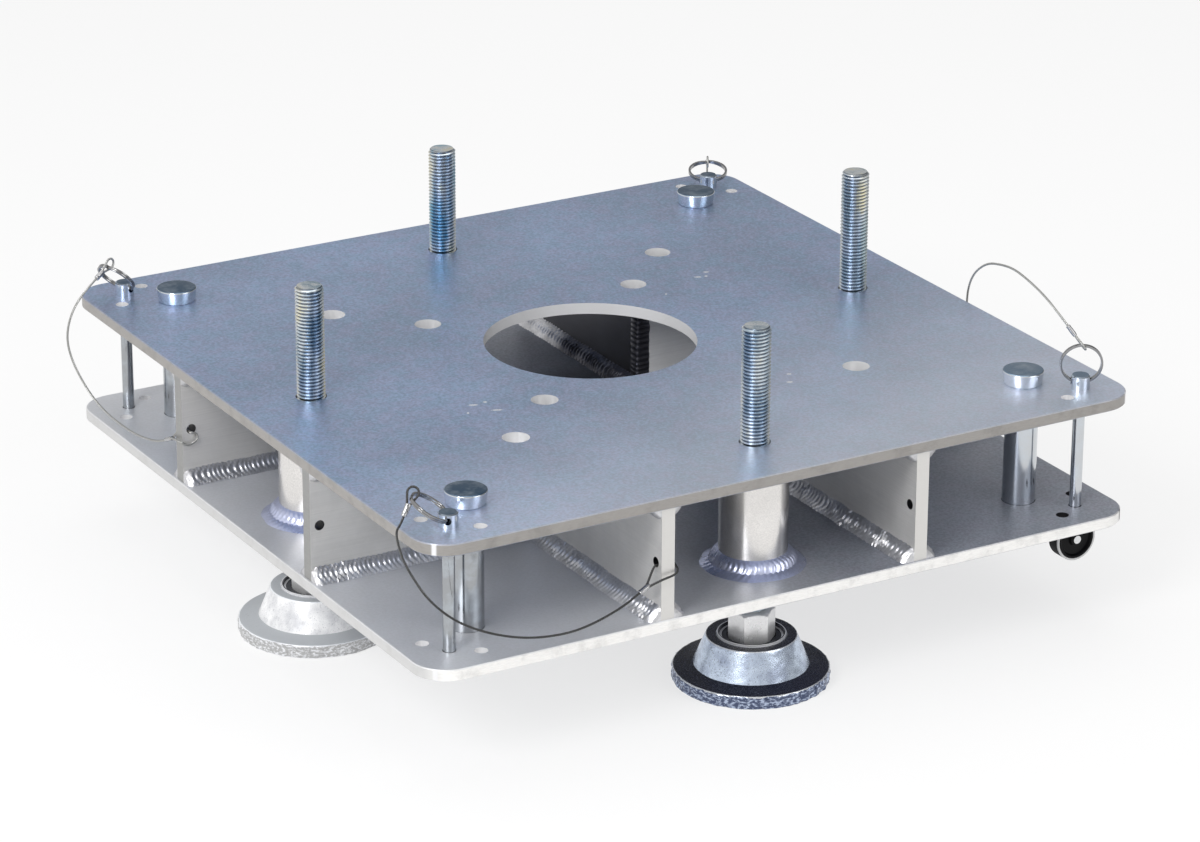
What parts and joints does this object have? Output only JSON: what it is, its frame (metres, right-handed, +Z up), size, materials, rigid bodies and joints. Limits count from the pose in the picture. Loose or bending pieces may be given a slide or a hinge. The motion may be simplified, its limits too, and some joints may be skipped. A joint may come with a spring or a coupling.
{
  "type": "truss base plate",
  "caption": "Double-deck aluminium truss base plate with screw jacks on disc feet, corner anchor pins with tethered locking pins, and small transport wheels.",
  "frame": {"origin": "on the floor under the middle of the plates, with all four feet standing on z = 0", "axes": "+Z up; X and Y square to the plates' edges, with the transport wheels at the +X edge"},
  "size_m": [0.7119, 0.718, 0.3155],
  "materials": {
    "plate_aluminium": "mill finish, lightly scuffed",
    "web_aluminium": "mill finish",
    "weld": "rippled weld bead",
    "sleeve_aluminium": "turned, satin",
    "nut_steel": "machined",
    "zinc_screw": "blue zinc plated thread",
    "galvanised_casting": "galvanised, slightly rough",
    "retaining_ring": "bright",
    "chrome_pin": "polished",
    "ring_steel": "spring steel, dull bright",
    "wire_rope": "dark stranded wire",
    "crimp": "pressed sleeve",
    "hub_plastic": "black",
    "tyre_rubber": "light grey",
    "axle_steel": "plain"
  },
  "bodies": {
    "frame": {"top_plate": "plate_aluminium", "bottom_plate": "plate_aluminium", "web_back_long": "web_aluminium", "web_back_butt": "web_aluminium", "web_left_long": "web_aluminium", "web_left_butt": "web_aluminium", "web_front_long": "web_aluminium", "web_front_butt": "web_aluminium", "web_right_long": "web_aluminium", "web_right_butt": "web_aluminium", "web_welds": "weld", "sleeve_welds": "weld", "jack_sleeve_east": "sleeve_aluminium", "jack_sleeve_north": "sleeve_aluminium", "jack_sleeve_west": "sleeve_aluminium", "jack_sleeve_south": "sleeve_aluminium", "jack_nut_east": "nut_steel", "jack_nut_north": "nut_steel", "jack_nut_west": "nut_steel", "jack_nut_south": "nut_steel", "lanyard_web_eyes": "crimp", "lanyard_back": "wire_rope", "lanyard_left": "wire_rope", "lanyard_front": "wire_rope", "lanyard_right": "wire_rope", "wheel_brackets": "web_aluminium", "wheel_axles": "axle_steel"},
    "foot_east": {"foot_pad_east": "galvanised_casting", "foot_ring_east": "retaining_ring"},
    "screw_east": {"jack_screw_east": "zinc_screw"},
    "foot_north": {"foot_pad_north": "galvanised_casting", "foot_ring_north": "retaining_ring"},
    "screw_north": {"jack_screw_north": "zinc_screw"},
    "foot_west": {"foot_pad_west": "galvanised_casting", "foot_ring_west": "retaining_ring"},
    "screw_west": {"jack_screw_west": "zinc_screw"},
    "foot_south": {"foot_pad_south": "galvanised_casting", "foot_ring_south": "retaining_ring"},
    "screw_south": {"jack_screw_south": "zinc_screw"},
    "anchor_back": {"anchor_pin_back": "chrome_pin"},
    "lock_back": {"lock_pin_back": "chrome_pin"},
    "ring_back": {"split_ring_back": "ring_steel", "lanyard_eye_back": "crimp"},
    "anchor_left": {"anchor_pin_left": "chrome_pin"},
    "lock_left": {"lock_pin_left": "chrome_pin"},
    "ring_left": {"split_ring_left": "ring_steel", "lanyard_eye_left": "crimp"},
    "anchor_front": {"anchor_pin_front": "chrome_pin"},
    "lock_front": {"lock_pin_front": "chrome_pin"},
    "ring_front": {"split_ring_front": "ring_steel", "lanyard_eye_front": "crimp"},
    "anchor_right": {"anchor_pin_right": "chrome_pin"},
    "lock_right": {"lock_pin_right": "chrome_pin"},
    "ring_right": {"split_ring_right": "ring_steel", "lanyard_eye_right": "crimp"},
    "wheel_right": {"wheel_hub_right": "hub_plastic", "wheel_tyre_right": "tyre_rubber"},
    "wheel_back": {"wheel_hub_back": "hub_plastic", "wheel_tyre_back": "tyre_rubber"}
  },
  "joints": [
    {"name": "jack_east_lift", "type": "slide", "parent": "frame", "child": "foot_east", "axis": [0, 0, 1], "range_m": [-0.09, 0.028]},
    {"name": "jack_east_turn", "type": "hinge", "parent": "foot_east", "child": "screw_east", "pos_m": [0.265, 0, 0.03], "axis": [0, 0, 1], "range_deg": [-10830, 3390]},
    {"name": "jack_north_lift", "type": "slide", "parent": "frame", "child": "foot_north", "axis": [0, 0, 1], "range_m": [-0.09, 0.028]},
    {"name": "jack_north_turn", "type": "hinge", "parent": "foot_north", "child": "screw_north", "pos_m": [0, 0.265, 0.03], "axis": [0, 0, 1], "range_deg": [-10830, 3390]},
    {"name": "jack_west_lift", "type": "slide", "parent": "frame", "child": "foot_west", "axis": [0, 0, 1], "range_m": [-0.09, 0.028]},
    {"name": "jack_west_turn", "type": "hinge", "parent": "foot_west", "child": "screw_west", "pos_m": [-0.265, 0, 0.03], "axis": [0, 0, 1], "range_deg": [-10830, 3390]},
    {"name": "jack_south_lift", "type": "slide", "parent": "frame", "child": "foot_south", "axis": [0, 0, 1], "range_m": [-0.09, 0.028]},
    {"name": "jack_south_turn", "type": "hinge", "parent": "foot_south", "child": "screw_south", "pos_m": [0, -0.265, 0.03], "axis": [0, 0, 1], "range_deg": [-10830, 3390]},
    {"name": "anchor_pin_back_lift", "type": "slide", "parent": "frame", "child": "anchor_back", "axis": [0, 0, 1], "range_m": [0, 0.13]},
    {"name": "lock_pin_back_lift", "type": "slide", "parent": "frame", "child": "lock_back", "axis": [0, 0, 1], "range_m": [0, 0.125], "deforming": ["lanyard_back"]},
    {"name": "ring_back_swing", "type": "hinge", "parent": "lock_back", "child": "ring_back", "pos_m": [0.29694, 0.29694, 0.2145], "axis": [0.8652, -0.5015, 0], "range_deg": [-8, 85], "deforming": ["lanyard_back"]},
    {"name": "anchor_pin_left_lift", "type": "slide", "parent": "frame", "child": "anchor_left", "axis": [0, 0, 1], "range_m": [0, 0.13]},
    {"name": "lock_pin_left_lift", "type": "slide", "parent": "frame", "child": "lock_left", "axis": [0, 0, 1], "range_m": [0, 0.125], "deforming": ["lanyard_left"]},
    {"name": "ring_left_swing", "type": "hinge", "parent": "lock_left", "child": "ring_left", "pos_m": [-0.29694, 0.29694, 0.2145], "axis": [-0.4019, 0.9157, 0], "range_deg": [-28, 85], "deforming": ["lanyard_left"]},
    {"name": "anchor_pin_front_lift", "type": "slide", "parent": "frame", "child": "anchor_front", "axis": [0, 0, 1], "range_m": [0, 0.13]},
    {"name": "lock_pin_front_lift", "type": "slide", "parent": "frame", "child": "lock_front", "axis": [0, 0, 1], "range_m": [0, 0.125], "deforming": ["lanyard_front"]},
    {"name": "ring_front_swing", "type": "hinge", "parent": "lock_front", "child": "ring_front", "pos_m": [-0.29694, -0.29694, 0.2145], "axis": [0.5015, 0.8652, 0], "range_deg": [-10, 85], "deforming": ["lanyard_front"]},
    {"name": "anchor_pin_right_lift", "type": "slide", "parent": "frame", "child": "anchor_right", "axis": [0, 0, 1], "range_m": [0, 0.13]},
    {"name": "lock_pin_right_lift", "type": "slide", "parent": "frame", "child": "lock_right", "axis": [0, 0, 1], "range_m": [0, 0.125], "deforming": ["lanyard_right"]},
    {"name": "ring_right_swing", "type": "hinge", "parent": "lock_right", "child": "ring_right", "pos_m": [0.29694, -0.29694, 0.2145], "axis": [0.866, -0.5, 0], "range_deg": [-60, 70], "deforming": ["lanyard_right"]},
    {"name": "wheel_right_roll", "type": "hinge", "parent": "frame", "child": "wheel_right", "pos_m": [0.299, -0.2917, 0.072], "axis": [0, 1, 0], "continuous": true},
    {"name": "wheel_back_roll", "type": "hinge", "parent": "frame", "child": "wheel_back", "pos_m": [0.299, 0.2917, 0.072], "axis": [0, 1, 0], "continuous": true}
  ],
  "couplings": [
    {"joint": "jack_east_turn", "follows": "jack_east_lift", "rad_per_m": 2094.4},
    {"joint": "jack_north_turn", "follows": "jack_north_lift", "rad_per_m": 2094.4},
    {"joint": "jack_west_turn", "follows": "jack_west_lift", "rad_per_m": 2094.4},
    {"joint": "jack_south_turn", "follows": "jack_south_lift", "rad_per_m": 2094.4}
  ]
}
